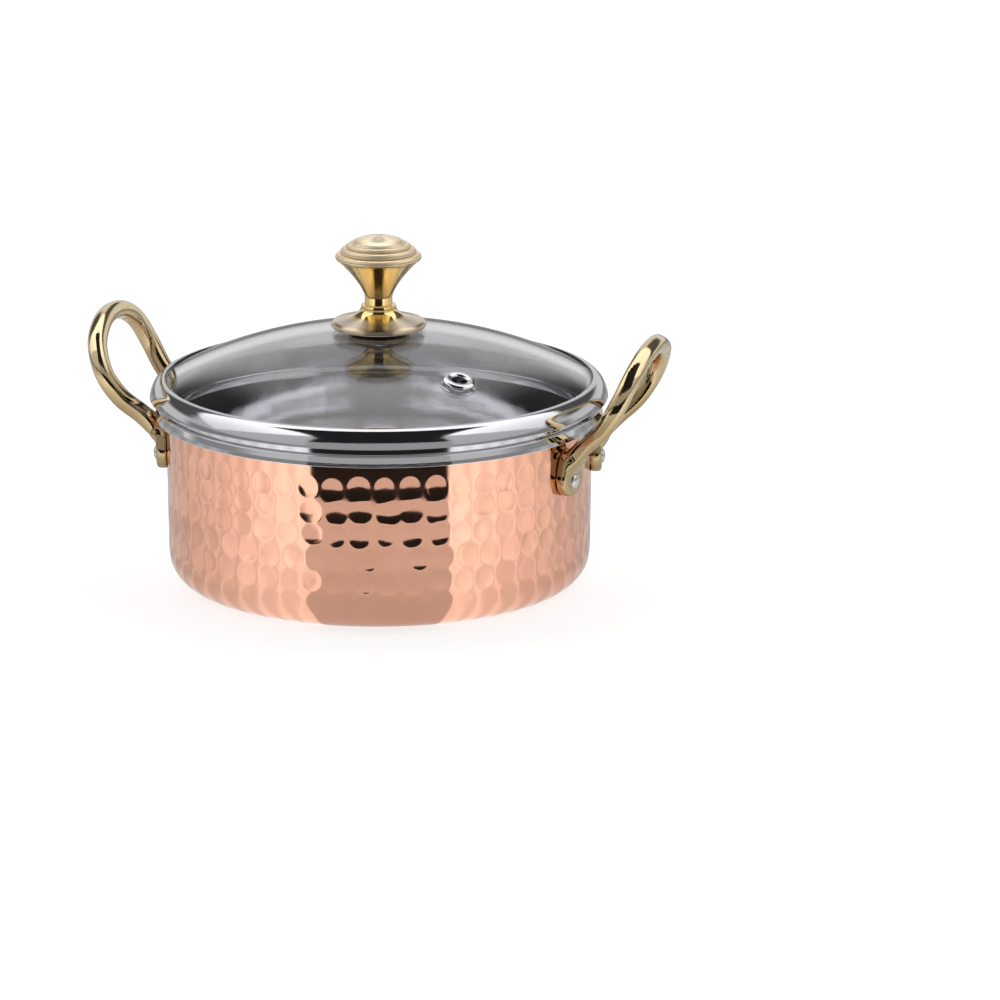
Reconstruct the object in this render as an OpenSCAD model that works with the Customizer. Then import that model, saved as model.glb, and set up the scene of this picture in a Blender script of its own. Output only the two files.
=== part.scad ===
// Two-handled hammered copper saucepan with a steel liner and a domed glass lid.
// The origin is the middle of the pan's underside, +Z is up and the handles stand along X.
// All lengths are in millimetres.

/* [Pan] */
// Diameter of the pan over its rolled steel rim
pan_d = 160; // [130:1:220]
// Height of the pan from the table to the top of its rim
pan_h = 64.5; // [56:0.5:110]
// Thickness of the rolled bead along the rim
bead_d = 3.6; // [3:0.1:4.6]
// Space between the copper wall and the bead that hangs over it
bead_gap = 0.1; // [0.05:0.05:0.3]
// Radius of the turn from the liner's wall out to the bead
lip_r = 2.6; // [2.2:0.1:3]
// Thickness of the copper shell
shell_t = 1.0; // [0.7:0.1:1.4]
// Thickness of the steel liner
liner_t = 0.8; // [0.5:0.1:1.2]
// Radius of the pan's bottom corner
corner_r = 12; // [8:0.5:16]
// How much narrower the wall's radius is above the bottom corner than at the rim
wall_draft = 0.8; // [0.2:0.1:2]

/* [Handles] */
// Thickness of the handle's rod
rod_d = 6.4; // [5:0.1:7.5]
// Width of the loop between the middles of its rod
loop_w = 52; // [44:1:60]
// How far the middle of the loop's rod stands out from the pan's wall
loop_reach = 24.5; // [22:0.5:34]
// How far the middle of the loop's rod rises above the pan's rim
loop_rise = 27.2; // [22:0.2:36]
// Distance between the two feet of a handle
foot_spacing = 37; // [34:1:42]
// Width of a foot
foot_w = 14; // [11:0.5:16]
// Height of a foot
foot_h = 17.2; // [16:0.2:20]
// Thickness of a foot
foot_t = 3.8; // [3:0.1:4.6]

/* [Rivets] */
// Depth of the rivets below the top of the pan's rim
rivet_drop = 18.5; // [17:0.5:22]
// Distance from a foot's lower end up to its rivet
rivet_up = 5.7; // [5:0.1:7]
// Thickness of a rivet's shank
rivet_d = 3.4; // [2.6:0.1:4]
// Diameter of the round head outside
rivet_head_d = 5.2; // [4.6:0.1:6]
// Height of the round head outside
rivet_head_h = 1.1; // [0.7:0.1:1.6]
// Diameter of the flat head inside the pan
rivet_button_d = 7.6; // [6:0.1:9]
// Height of the flat head inside the pan
rivet_button_h = 1.3; // [0.9:0.1:1.8]

/* [Lid band] */
// How far the lid's steel band stands out past the pan's rim
band_overhang = 2.0; // [1:0.1:3]
// Width of the band seen from above
band_w = 5.5; // [5:0.1:7]
// Height of the band above its seat on the pan's rim
band_h = 9.9; // [9:0.1:12]
// Width of the turn along the band's lower edge
band_edge_w = 1.6; // [1.2:0.1:2.4]
// Height of the turn along the band's lower edge
band_edge_h = 1.1; // [0.9:0.1:1.6]
// How far the groove between the band and the pan's rim runs in
band_groove = 4.4; // [3.6:0.1:4.8]
// Thickness of the band's sheet
band_t = 0.7; // [0.5:0.1:0.8]
// Space between the band's seat and the pan's rim
seat_gap = 0.2; // [0.1:0.05:0.4]
// Depth of the skirt that keeps the lid centred
skirt_h = 6.0; // [4:0.5:8]
// Play between the skirt and the liner
skirt_play = 0.6; // [0.4:0.1:1]

/* [Glass] */
// Thickness of the glass
glass_t = 4.0; // [3:0.1:4.4]
// Rise of the dome from the band's lip to its crown
dome_rise = 18.4; // [14:0.2:24]
// How far the glass reaches under the band's lip
glass_grip = 1.8; // [1.4:0.1:2.4]
// Space between the glass and the sheet that holds it
glass_gap = 0.08; // [0.04:0.02:0.16]

/* [Steam vent] */
// Diameter of the steam hole through the eyelet
vent_d = 5.4; // [4:0.1:6]
// Diameter of the eyelet's flange
vent_flange_d = 12; // [10:0.5:14]
// Thickness of the eyelet's flanges
vent_flange_t = 0.9; // [0.6:0.1:1.2]
// Thickness of the eyelet's barrel
vent_wall = 0.8; // [0.5:0.1:1.2]
// Distance of the vent from the lid's middle
vent_reach = 53; // [44:0.5:58]
// Direction of the vent, turned from +X
vent_turn = -41.5; // [-90:0.5:90]

/* [Knob] */
// Diameter of the knob's head
head_d = 30.4; // [26:0.2:36]
// Height of the domed head above the flare
head_h = 8.2; // [7:0.1:10]
// Diameter of the knob's neck
neck_d = 9.9; // [8.6:0.1:12]
// Height of the straight neck
neck_h = 5.2; // [3:0.1:8]
// Height of the flare from the neck to the head
flare_h = 11.5; // [9:0.1:15]
// Diameter of the base under the knob
base_d = 34; // [30:0.5:40]
// Height of the base
base_h = 8.2; // [7:0.1:12]
// Diameter of the base's upper end
base_top_d = 12.6; // [11.4:0.1:15]

/* [Knob fixing] */
// Thickness of the screw's shank
screw_d = 4.0; // [3:0.1:5]
// Space around the screw's shank
screw_gap = 0.05; // [0.02:0.01:0.1]
// Depth of the screw in the knob
screw_bite = 10; // [7:0.5:13]
// Diameter of the screw's head
screw_head_d = 8.0; // [7:0.1:9]
// Height of the screw's head
screw_head_h = 2.6; // [2:0.1:3.2]
// Diameter of the seals on both sides of the glass
seal_d = 20; // [16:0.5:26]
// Thickness of the seals
seal_t = 0.5; // [0.4:0.1:1.2]
// Diameter of the steel washer under the glass
washer_d = 22; // [16:0.5:26]
// Thickness of the steel washer
washer_t = 1.2; // [0.8:0.1:1.6]

/* [Hidden] */

// Fineness of the round shapes
round_fn = 128;
dome_fn = 256;
small_fn = 48;
arc_steps = 12;
rod_sides = 16;
rod_steps = 3;
// Length by which cuts run past what they cut
cut = 1;

// Pan
bead_r = bead_d / 2;
bead_x = pan_d / 2 - bead_r;
bead_z = pan_h - bead_r;
wall_r = pan_d / 2 - bead_d - bead_gap;
wall_t = shell_t + liner_t;
liner_r = wall_r - wall_t;
low_r = wall_r - wall_draft;
wall_top = pan_h - lip_r;
wall_lean = atan(wall_draft / (wall_top - corner_r));

// Handles and rivets
rod_r = rod_d / 2;
rivet_z = pan_h - rivet_drop;
foot_low = rivet_z - rivet_up;
foot_top = foot_low + foot_h;
foot_x = sqrt(pow(wall_r, 2) - pow(foot_spacing / 2, 2));
foot_turn = asin(foot_spacing / 2 / (wall_r + foot_t / 2));
loop_x = wall_r + loop_reach;
loop_top = pan_h + loop_rise;
button_r = rivet_button_d / 2;
// Depth of the wall's inner curve under the flat head inside the pan
button_sink = liner_r - sqrt(pow(liner_r, 2) - pow(button_r, 2));
// Radius of a foot's upper end, as a share of the lower end's
foot_end_share = 0.84;

// Middle line of half a handle, from inside a foot to the top of the loop. A row holds the shares of
// the rod's radius and of the reach going out, of half the feet's spacing and of half the loop's
// width going sideways, of the foot's height and of the rest of the rise going up, of the rod's
// radius that the rod has there in thickness and in width, and of the turn from the foot's face to
// the loop's.
loop_shares = [
    [0.52, 0,     1,    0,    0.535, 0,     0.48, 1.9,  0],
    [0.99, 0,     1,    0,    0.74,  0,     0.85, 1.8,  0],
    [1,    0.048, 0.96, 0.04, 0.913, 0,     1,    1.45, 0.3],
    [0,    0.325, 0.6,  0.38, 1,     0.09,  1,    1.1,  0.7],
    [0,    0.565, 0.2,  0.79, 1,     0.271, 1,    1.1,  1],
    [0,    0.77,  0,    1,    1,     0.527, 1,    1.1,  1],
    [0,    0.91,  0,    0.84, 1,     0.789, 1,    1.06, 1],
    [0,    0.977, 0,    0.46, 1,     0.949, 1,    1,    1],
    [0,    1,     0,    0,    1,     1,     1,    1,    1]
];

// Lid
lid_r = pan_d / 2 + band_overhang;
seat_z = pan_h + seat_gap;
band_top = seat_z + band_h;
lip_x = lid_r - band_w;
groove_x = lid_r - band_groove;
skirt_r = liner_r - skirt_play;
dome_r = (pow(lip_x, 2) + pow(dome_rise, 2)) / (2 * dome_rise);
crown_z = band_top - band_t - glass_gap + dome_rise;
dome_z = crown_z - dome_r;
hollow_r = dome_r - glass_t;
glass_r = lip_x + glass_grip;
// Height of the glass's lower edge, of the band's ledge that carries it, and of the band's widest line
glass_low = dome_z + sqrt(pow(hollow_r, 2) - pow(glass_r, 2));
ledge_z = glass_low - glass_gap;
widest_z = ledge_z - band_t + band_edge_h;

// Steam vent
vent_r = vent_d / 2;
vent_barrel_r = vent_r + vent_wall;
vent_flange_r = vent_flange_d / 2;
vent_tilt = asin(vent_reach / dome_r);
// Height of the glass's underside at the flange's edge, from the glass's top along the vent
vent_under = sqrt(pow(hollow_r, 2) - pow(vent_flange_r, 2)) - dome_r;

// Knob and its fixing
seal_r = seal_d / 2;
washer_r = washer_d / 2;
base_low = crown_z + seal_t;
base_top = base_low + base_h;
neck_top = base_top + neck_h;
head_z = neck_top + flare_h;
base_r = base_d / 2;
base_top_r = base_top_d / 2;
neck_r = neck_d / 2;
head_r = head_d / 2;
bore_r = screw_d / 2 + screw_gap;
seal_under = dome_z + sqrt(pow(hollow_r, 2) - pow(seal_r, 2));
washer_top = seal_under - seal_t;
washer_low = washer_top - washer_t;
slot_share = 0.15;
slot_depth_share = 0.4;
// Rounded edge of the knob's base: shares of its radius and of its height
base_edge_shares = [[0.965, 0], [0.995, 0.06], [1, 0.14], [0.985, 0.23], [0.94, 0.3]];
base_power = 2.9;
flare_power = 1.35;
flare_end_share = 0.93;
// Rings on the knob's head: shares of its radius, its height and again its height for the ring's radius
ring_shares = [[0.915, 0.14, 0.165], [0.8, 0.385, 0.155], [0.685, 0.575, 0.13]];
cap_share = 0.65;
cap_low_share = 0.655;

function lerp(a, b, share) = a + (b - a) * share;
function unit(v) = v / norm(v);
function reversed(list) = [for (i = [len(list) - 1:-1:0]) list[i]];

// Points along an arc about x, z
function arc(x, z, wide, high, from, to, steps = arc_steps) = [
    for (i = [0:steps]) let (a = lerp(from, to, i / steps)) [x + wide * cos(a), z + high * sin(a)]
];

// Radius of the wall's outer face at a height
function wall_at(z) = low_r + wall_draft * (z - corner_r) / (wall_top - corner_r);

// Profile of the pan from the middle of its floor to the wall's top, set in by a thickness
function pan_line(inset) = concat(
    [[0, inset]],
    arc(low_r - corner_r, corner_r, corner_r - inset, corner_r - inset, -90, 0),
    [[wall_r - inset, wall_top]]
);

// Point on a smooth curve from p[i] to p[i + 1]
function curve_point(p, i, t) =
    let (a = p[max(i - 1, 0)], b = p[i], c = p[i + 1], d = p[min(i + 2, len(p) - 1)])
    (2 * b + (c - a) * t + (2 * a - 5 * b + 4 * c - d) * pow(t, 2) + (3 * b - 3 * c + d - a) * pow(t, 3)) / 2;

function curve(p, steps) = concat(
    [for (i = [0:len(p) - 2], s = [0:steps - 1]) curve_point(p, i, s / steps)],
    [p[len(p) - 1]]
);

// Directions that the outer faces of a foot and of the loop look in
foot_face = [cos(foot_turn), sin(foot_turn), 0];
loop_face = unit([loop_top - foot_low, 0, foot_x - loop_x]);

// Stations of the handle's rod: its middle, its thickness and width, and the way that its face looks
loop_half = [
    for (s = loop_shares) concat(
        foot_x + rod_r * s[0] + (loop_x - foot_x) * s[1],
        foot_spacing / 2 * s[2] + loop_w / 2 * s[3],
        foot_low + foot_h * s[4] + (loop_top - foot_top) * s[5],
        rod_r * s[6],
        rod_r * s[7],
        lerp(foot_face, loop_face, s[8])
    )
];
loop_mirror = [1, -1, 1, 1, 1, 1, -1, 1];
loop_mirrored = [
    for (i = [len(loop_half) - 2:-1:0]) [for (j = [0:len(loop_mirror) - 1]) loop_half[i][j] * loop_mirror[j]]
];
loop_line = curve(concat(loop_half, loop_mirrored), rod_steps);

function rod_point(i) = [for (j = [0:2]) loop_line[i][j]];
function rod_face(i) = [for (j = [5:7]) loop_line[i][j]];
function rod_way(i) = unit(rod_point(min(i + 1, len(loop_line) - 1)) - rod_point(max(i - 1, 0)));
function rod_ring(i) =
    let (way = rod_way(i), side = unit(cross(way, rod_face(i))), out = cross(side, way))
    [
        for (s = [0:rod_sides - 1]) let (a = 360 * s / rod_sides)
            rod_point(i) + loop_line[i][3] * cos(a) * out + loop_line[i][4] * sin(a) * side
    ];

// The bent rod of a handle
module loop_rod() {
    rings = len(loop_line);
    points = [for (i = [0:rings - 1]) each rod_ring(i)];
    sides = [
        for (i = [0:rings - 2], s = [0:rod_sides - 1])
            let (a = i * rod_sides, b = a + rod_sides, next = (s + 1) % rod_sides)
            each [[a + s, b + s, b + next], [a + s, b + next, a + next]]
    ];
    first_end = [for (s = [0:rod_sides - 1]) s];
    last_end = [for (s = [rod_sides - 1:-1:0]) (rings - 1) * rod_sides + s];
    polyhedron(points, concat(sides, [first_end, last_end]));
}

// Puts a shape at a rivet, its +Z straight out of the wall and its +Y up the wall
module at_rivet(way) {
    rotate([0, 0, way * foot_turn])
        translate([wall_at(rivet_z), 0, rivet_z])
            rotate([90 + wall_lean, 0, 90])
                children();
}

module rivet_hole() {
    translate([0, 0, -wall_t - cut])
        cylinder(d = rivet_d, h = wall_t + foot_t + 2 * cut, $fn = small_fn);
}

module rivet_holes() {
    for (side = [0, 180], way = [-1, 1]) rotate([0, 0, side]) at_rivet(way) rivet_hole();
}

module copper_shell() {
    color("#d9977c")
        difference() {
            rotate_extrude($fn = round_fn) polygon(concat(pan_line(0), reversed(pan_line(shell_t))));
            rivet_holes();
        }
}

// The liner ends in a solid bead that hangs over the top of the copper wall
module steel_liner() {
    color("#c3c6c9")
        difference() {
            rotate_extrude($fn = round_fn)
                polygon(concat(
                    pan_line(shell_t),
                    arc(bead_x, bead_z, bead_r, bead_r, -180, 90, 2 * arc_steps),
                    arc(liner_r + lip_r, wall_top, lip_r, lip_r, 90, 180),
                    reversed(pan_line(wall_t))
                ));
            rivet_holes();
        }
}

// Outline of a foot: a round end that narrows upwards to the rod
function foot_outline() =
    let (big = foot_w / 2, small = big * foot_end_share, rise = foot_h - big - small)
    let (a = asin((big - small) / rise))
    concat(
        arc(0, big - rivet_up, big, big, 180 - a, 360 + a, 2 * arc_steps),
        arc(0, big - rivet_up + rise, small, small, a, 180 - a)
    );

// Ring round the pan, as thick as a foot, that gives the feet their curved faces
module foot_ring() {
    low = foot_low - cut;
    high = foot_top + cut;
    rotate_extrude($fn = round_fn)
        polygon([
            [wall_at(low), low], [wall_at(low) + foot_t, low],
            [wall_at(high) + foot_t, high], [wall_at(high), high]
        ]);
}

module foot(way) {
    difference() {
        intersection() {
            at_rivet(way)
                translate([0, 0, -cut]) linear_extrude(foot_t + 2 * cut) polygon(foot_outline());
            foot_ring();
        }
        at_rivet(way) rivet_hole();
    }
}

module handle() {
    color("#d8b878")
        union() {
            loop_rod();
            foot(-1);
            foot(1);
        }
}

module right_handle() {
    handle();
}

module left_handle() {
    rotate([0, 0, 180]) handle();
}

// A rivet with a round head outside and a flat one inside the pan
module rivet() {
    inside = -wall_t - button_sink;
    rotate_extrude($fn = small_fn)
        polygon(concat(
            arc(0, foot_t, rivet_head_d / 2, rivet_head_h, 90, 0),
            [[rivet_d / 2, foot_t], [rivet_d / 2, inside]],
            arc(0, inside, button_r, rivet_button_h, 0, -90)
        ));
}

module handle_rivets() {
    color("#b9bcc0")
        for (side = [0, 180], way = [-1, 1]) rotate([0, 0, side]) at_rivet(way) rivet();
}

// Puts a shape at the steam vent, its +Z straight out of the dome
module at_vent() {
    rotate([0, 0, vent_turn])
        translate([0, 0, dome_z])
            rotate([0, vent_tilt, 0])
                translate([0, 0, dome_r])
                    children();
}

module lid_glass() {
    color([0.76, 0.8, 0.82, 0.5])
        difference() {
            rotate_extrude($fn = round_fn)
                intersection() {
                    translate([0, dome_z])
                        difference() {
                            circle(dome_r, $fn = dome_fn);
                            circle(hollow_r, $fn = dome_fn);
                        }
                    square([glass_r, crown_z + cut]);
                }
            translate([0, 0, seal_under]) cylinder(r = bore_r, h = glass_t + cut, $fn = small_fn);
            at_vent()
                translate([0, 0, vent_under - cut])
                    cylinder(r = vent_barrel_r + glass_gap, h = 2 * cut - vent_under, $fn = small_fn);
        }
}

// Sheet band: a lip over the glass, a rounded outside, a ledge under the glass's edge, a groove down to
// the seat on the pan's rim, and a skirt inside it that carries the glass too
module lid_band() {
    over_h = band_top - widest_z;
    edge_x = lid_r - band_edge_w;
    groove_in = groove_x - band_t;
    skirt_in = skirt_r - band_t;
    skirt_low = seat_z - skirt_h;
    support = dome_z + sqrt(pow(hollow_r, 2) - pow(skirt_r, 2)) - glass_gap;
    color("#c9ccd0")
        rotate_extrude($fn = round_fn)
            polygon(concat(
                arc(lip_x, widest_z, band_w, over_h, 90, 0),
                arc(edge_x, widest_z, band_edge_w, band_edge_h, 0, -90),
                [
                    [groove_x, ledge_z - band_t], [groove_x, seat_z],
                    [skirt_r, seat_z], [skirt_r, skirt_low], [skirt_in, skirt_low],
                    [skirt_in, support], [skirt_r, support], [skirt_r, seat_z + band_t],
                    [groove_in, seat_z + band_t], [groove_in, ledge_z]
                ],
                arc(edge_x, widest_z, band_edge_w - band_t, band_edge_h - band_t, -90, 0),
                arc(lip_x, widest_z, band_w - band_t, over_h - band_t, 0, 90)
            ));
}

module vent_eyelet() {
    color("#d2d5d8")
        at_vent()
            rotate_extrude($fn = small_fn)
                polygon(concat(
                    [[vent_r, vent_under - vent_flange_t], [vent_flange_r, vent_under - vent_flange_t]],
                    [[vent_flange_r, vent_under], [vent_barrel_r, vent_under], [vent_barrel_r, 0]],
                    arc((vent_flange_r + vent_r) / 2, 0, (vent_flange_r - vent_r) / 2, vent_flange_t, 0, 180)
                ));
}

module knob() {
    flare = [
        for (i = [1:arc_steps]) let (s = i / arc_steps)
            [lerp(neck_r, head_r * flare_end_share, pow(s, flare_power)), neck_top + flare_h * s]
    ];
    ring_middles = [for (s = ring_shares) [head_r * s[0], head_z + head_h * s[1]]];
    cap_x = head_r * cap_share;
    cap_low = head_z + head_h * cap_low_share;
    cap_high = head_z + head_h - cap_low;
    color("#dcbf84")
        difference() {
            rotate_extrude($fn = round_fn)
                union() {
                    polygon(concat(
                        [[0, base_top], [neck_r, base_top], [neck_r, neck_top]],
                        flare,
                        ring_middles,
                        arc(0, cap_low, cap_x, cap_high, 0, 90)
                    ));
                    for (i = [0:len(ring_shares) - 1])
                        translate(ring_middles[i]) circle(head_h * ring_shares[i][2], $fn = small_fn);
                }
            translate([0, 0, base_top - cut])
                cylinder(r = bore_r, h = screw_bite + 2 * cut, $fn = small_fn);
        }
}

module knob_base() {
    edge = [for (s = base_edge_shares) [base_r * s[0], base_low + base_h * s[1]]];
    shoulder = edge[len(edge) - 1];
    cone = [
        for (i = [1:arc_steps]) let (s = i / arc_steps)
            [
                lerp(base_top_r, shoulder[0], pow(1 - s, base_power)),
                lerp(shoulder[1], base_top, s)
            ]
    ];
    color("#d6b676")
        difference() {
            rotate_extrude($fn = round_fn)
                polygon(concat([[0, base_low]], edge, cone, [[0, base_top]]));
            translate([0, 0, base_low - cut]) cylinder(r = bore_r, h = base_h + 2 * cut, $fn = small_fn);
        }
}

// The shank starts inside the head, above the slot
module knob_screw() {
    head_low = washer_low - screw_head_h;
    shank_low = washer_low - screw_head_h / 2;
    slot_w = screw_head_d * slot_share;
    slot_h = screw_head_h * slot_depth_share;
    color("#a9acb0")
        difference() {
            union() {
                translate([0, 0, shank_low])
                    cylinder(d = screw_d, h = base_top + screw_bite - shank_low, $fn = small_fn);
                rotate_extrude($fn = small_fn)
                    polygon(concat(
                        arc(0, washer_low, screw_head_d / 2, screw_head_h, -90, 0),
                        [[0, washer_low]]
                    ));
            }
            translate([-screw_head_d / 2 - cut, -slot_w / 2, head_low - cut])
                cube([screw_head_d + 2 * cut, slot_w, slot_h + cut]);
        }
}

// Flat ring round the knob's screw
module ring(outer_r, low, thick) {
    difference() {
        translate([0, 0, low]) cylinder(r = outer_r, h = thick, $fn = round_fn);
        translate([0, 0, low - cut]) cylinder(r = bore_r, h = thick + 2 * cut, $fn = small_fn);
    }
}

module upper_seal() {
    color("#4a4a4c") ring(seal_r, crown_z, seal_t);
}

module lower_seal() {
    color("#4a4a4c") ring(seal_r, washer_top, seal_t);
}

module knob_washer() {
    color("#b9bcc0") ring(washer_r, washer_low, washer_t);
}

copper_shell();
steel_liner();
right_handle();
left_handle();
handle_rivets();
lid_glass();
lid_band();
vent_eyelet();
knob();
knob_base();
knob_screw();
upper_seal();
lower_seal();
knob_washer();
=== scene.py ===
# Looks of the hammered copper saucepan with its glass lid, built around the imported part.
# Everything is in metres in the part's own frame. Profiles are written in millimetres.

import math

import bmesh
import bpy
import numpy as np
from mathutils import Matrix, Vector


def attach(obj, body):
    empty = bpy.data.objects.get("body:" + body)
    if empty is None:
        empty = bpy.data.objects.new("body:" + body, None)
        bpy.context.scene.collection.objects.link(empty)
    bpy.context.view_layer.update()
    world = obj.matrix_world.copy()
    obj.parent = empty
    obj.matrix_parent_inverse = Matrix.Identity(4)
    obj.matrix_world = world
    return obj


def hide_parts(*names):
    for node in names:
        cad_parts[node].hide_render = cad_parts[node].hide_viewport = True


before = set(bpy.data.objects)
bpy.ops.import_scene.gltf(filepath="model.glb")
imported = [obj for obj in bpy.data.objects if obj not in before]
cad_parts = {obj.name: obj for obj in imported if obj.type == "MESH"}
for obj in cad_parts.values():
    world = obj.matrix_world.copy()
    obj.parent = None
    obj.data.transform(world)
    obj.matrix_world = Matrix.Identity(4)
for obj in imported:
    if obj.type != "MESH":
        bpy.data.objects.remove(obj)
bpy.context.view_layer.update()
MM = 0.001

# Sizes of the part, in millimetres, as its source has them
WALL_R = 76.3
LOW_R = 75.5
CORNER_R = 12.0
WALL_TOP = 61.9
SHELL_T = 1.0
WALL_T = 1.8
BEAD_R = 1.8
BEAD_X = 78.2
BEAD_Z = 62.7
LIP_R = 2.6
LINER_R = WALL_R - WALL_T
FOOT_T = 3.8
FOOT_W = 14.0
FOOT_H = 17.2
FOOT_LOW = 40.3
FOOT_SPACING = 37.0
ROD_R = 3.2
LOOP_W = 52.0
LOOP_X = 100.8
LOOP_TOP = 91.7
RIVET_Z = 46.0
RIVET_UP = 5.7
RIVET_HEAD_R = 2.6
RIVET_HEAD_H = 1.1
SHANK_R = 1.7
BUTTON_R = 3.8
LID_R = 82.0
SEAT_Z = 64.7
BAND_TOP = 74.6
BAND_T = 0.7
LIP_X = 76.5
SKIRT_R = 73.9
SKIRT_LOW = 58.7
GROOVE_X = 77.6
EDGE_W = 1.6
EDGE_H = 1.1
GLASS_T = 4.0
GLASS_R = 78.3
GLASS_GAP = 0.08
DOME_RISE = 18.4
VENT_TURN = math.radians(-41.5)
VENT_REACH = 53.0
VENT_R = 2.7
BARREL_R = 3.5
FLANGE_R = 6.0
FLANGE_T = 0.9
BASE_LOW = 92.72
BASE_TOP = 100.92
BASE_R = 17.0
SHOULDER_R = 6.3
NECK_R = 4.95
NECK_TOP = 106.12
HEAD_Z = 117.62
HEAD_H = 8.2
HEAD_R = 15.2

# Finer sizes that only this script has: the wide rivet heads, the skirt's hem and ridge, the glass's edges
BUTTON_TOP_R = 3.75
BUTTON_EDGE = 0.3
BUTTON_H = 1.0
HEM_R = 0.6
RIDGE_R = 0.3
RIDGE_UP = 3.6
VENT_HOLE_R = 3.66
BEVEL_W = 0.4
BEVEL_H = 0.5
# The flare under the knob's head, and the head itself, start lower on the neck than the plain solid's
FLARE_DROP = 2.4
HEAD_DROP = 0.5

WALL_LEAN = math.atan((WALL_R - LOW_R) / (WALL_TOP - CORNER_R))
FOOT_TURN = math.asin(FOOT_SPACING / 2 / (WALL_R + FOOT_T / 2))
FOOT_X = math.sqrt(WALL_R**2 - (FOOT_SPACING / 2) ** 2)
DOME_R = (LIP_X**2 + DOME_RISE**2) / (2 * DOME_RISE)
CROWN_Z = BAND_TOP - BAND_T - GLASS_GAP + DOME_RISE
DOME_Z = CROWN_Z - DOME_R
HOLLOW_R = DOME_R - GLASS_T
LEDGE_Z = DOME_Z + math.sqrt(HOLLOW_R**2 - GLASS_R**2) - GLASS_GAP
WIDEST_Z = LEDGE_Z - BAND_T + EDGE_H
VENT_TILT = math.asin(VENT_REACH / DOME_R)

# Where the camera stands, seen from the middle of the rim, and where it aims beside that, in metres
CAMERA_TURN = math.radians(16.5)
CAMERA_RISE = math.radians(14)
CAMERA_FAR = 2.5
TARGET_Z = 0.0627
AIM_RIGHT = 0.04308
AIM_DOWN = 0.03296
# Lens and sensor, in millimetres
LENS = 251.7
SENSOR = 36


# Mesh helpers


def new_object(name, verts, faces, body, nodes, sharp):
    mesh = bpy.data.meshes.new(name)
    mesh.from_pydata([Vector(v) * MM for v in verts], [], faces)
    bm = bmesh.new()
    bm.from_mesh(mesh)
    bmesh.ops.recalc_face_normals(bm, faces=bm.faces)
    bm.to_mesh(mesh)
    bm.free()
    obj = bpy.data.objects.new(name, mesh)
    bpy.context.scene.collection.objects.link(obj)
    finish_object(obj, body, nodes, sharp)
    return obj


def finish_object(obj, body, nodes, sharp=None):
    for face in obj.data.polygons:
        face.use_smooth = True
    if sharp:
        obj.data.set_sharp_from_angle(angle=math.radians(sharp))
    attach(obj, body)
    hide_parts(*nodes)


def arc(x, z, wide, high, start, end, steps):
    """Part of an ellipse, from one turn to another in degrees."""
    angles = [math.radians(start + (end - start) * i / steps) for i in range(steps + 1)]
    return [(x + wide * math.cos(a), z + high * math.sin(a)) for a in angles]


# A rounded corner takes at most this share of a side, and one more point stands this much further on
ROUND_MOST = 0.42
ROUND_PAST = 1.15


def rounded(points, radii, steps=5):
    """Rounds the corners of an outline. A radius of 0 keeps its corner."""
    out = []
    count = len(points)
    for i, (p, r) in enumerate(zip(points, radii)):
        if r <= 0:
            out.append(p)
            continue
        before = Vector(points[(i - 1) % count]) - Vector(p)
        after = Vector(points[(i + 1) % count]) - Vector(p)
        half = before.angle(after) / 2
        run = min(r / math.tan(half), before.length * ROUND_MOST, after.length * ROUND_MOST)
        a = Vector(p) + before.normalized() * run
        b = Vector(p) + after.normalized() * run
        # One more point on each side keeps the faces beside the corner flat
        out.append(tuple(Vector(p) + before.normalized() * run * ROUND_PAST))
        for s in range(steps + 1):
            t = s / steps
            q = a * (1 - t) ** 2 + Vector(p) * 2 * t * (1 - t) + b * t**2
            out.append((q.x, q.y))
        out.append(tuple(Vector(p) + after.normalized() * run * ROUND_PAST))
    return out


def add_ring(verts, rings, r, z, segs):
    """Adds one level ring of a turned body, or a single point where it lies on the axis."""
    if r < 1e-6:
        rings.append([len(verts)])
        verts.append((0, 0, z))
        return
    rings.append(list(range(len(verts), len(verts) + segs)))
    for s in range(segs):
        a = 2 * math.pi * s / segs
        verts.append((r * math.cos(a), r * math.sin(a), z))


def ring_faces(rings, segs):
    """Faces from each ring to the next, and from the last to the first."""
    faces = []
    for i, low in enumerate(rings):
        high = rings[(i + 1) % len(rings)]
        for s in range(segs):
            t = (s + 1) % segs
            if len(low) == 1 and len(high) == 1:
                break
            if len(low) == 1:
                faces.append((low[0], high[t], high[s]))
            elif len(high) == 1:
                faces.append((low[s], low[t], high[0]))
            else:
                faces.append((low[s], low[t], high[t], high[s]))
    return faces


def lathe(outline, segs):
    """Vertices and faces of a closed turned body."""
    verts, rings = [], []
    for r, z in outline:
        add_ring(verts, rings, r, z, segs)
    return verts, ring_faces(rings, segs)


def moved(verts, matrix):
    return [tuple(matrix @ Vector(v)) for v in verts]


def apply_modifiers(obj):
    bpy.context.view_layer.update()
    done = bpy.data.meshes.new_from_object(obj.evaluated_get(bpy.context.evaluated_depsgraph_get()))
    obj.modifiers.clear()
    obj.data = done


def paint(obj, mat):
    obj.data.materials.clear()
    obj.data.materials.append(mat)


# Node helpers


def material(name):
    mat = bpy.data.materials.new(name)
    mat.use_nodes = True
    nodes = mat.node_tree.nodes
    nodes.clear()
    out = nodes.new("ShaderNodeOutputMaterial")
    shader = nodes.new("ShaderNodeBsdfPrincipled")
    mat.node_tree.links.new(shader.outputs[0], out.inputs["Surface"])
    return mat, mat.node_tree, shader


def node(tree, kind, inputs=None, **settings):
    made = tree.nodes.new("ShaderNode" + kind)
    for key, value in settings.items():
        setattr(made, key, value)
    for key, value in (inputs or {}).items():
        socket = made.inputs[key]
        if isinstance(value, bpy.types.NodeSocket):
            tree.links.new(value, socket)
        else:
            socket.default_value = value
    return made


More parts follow.
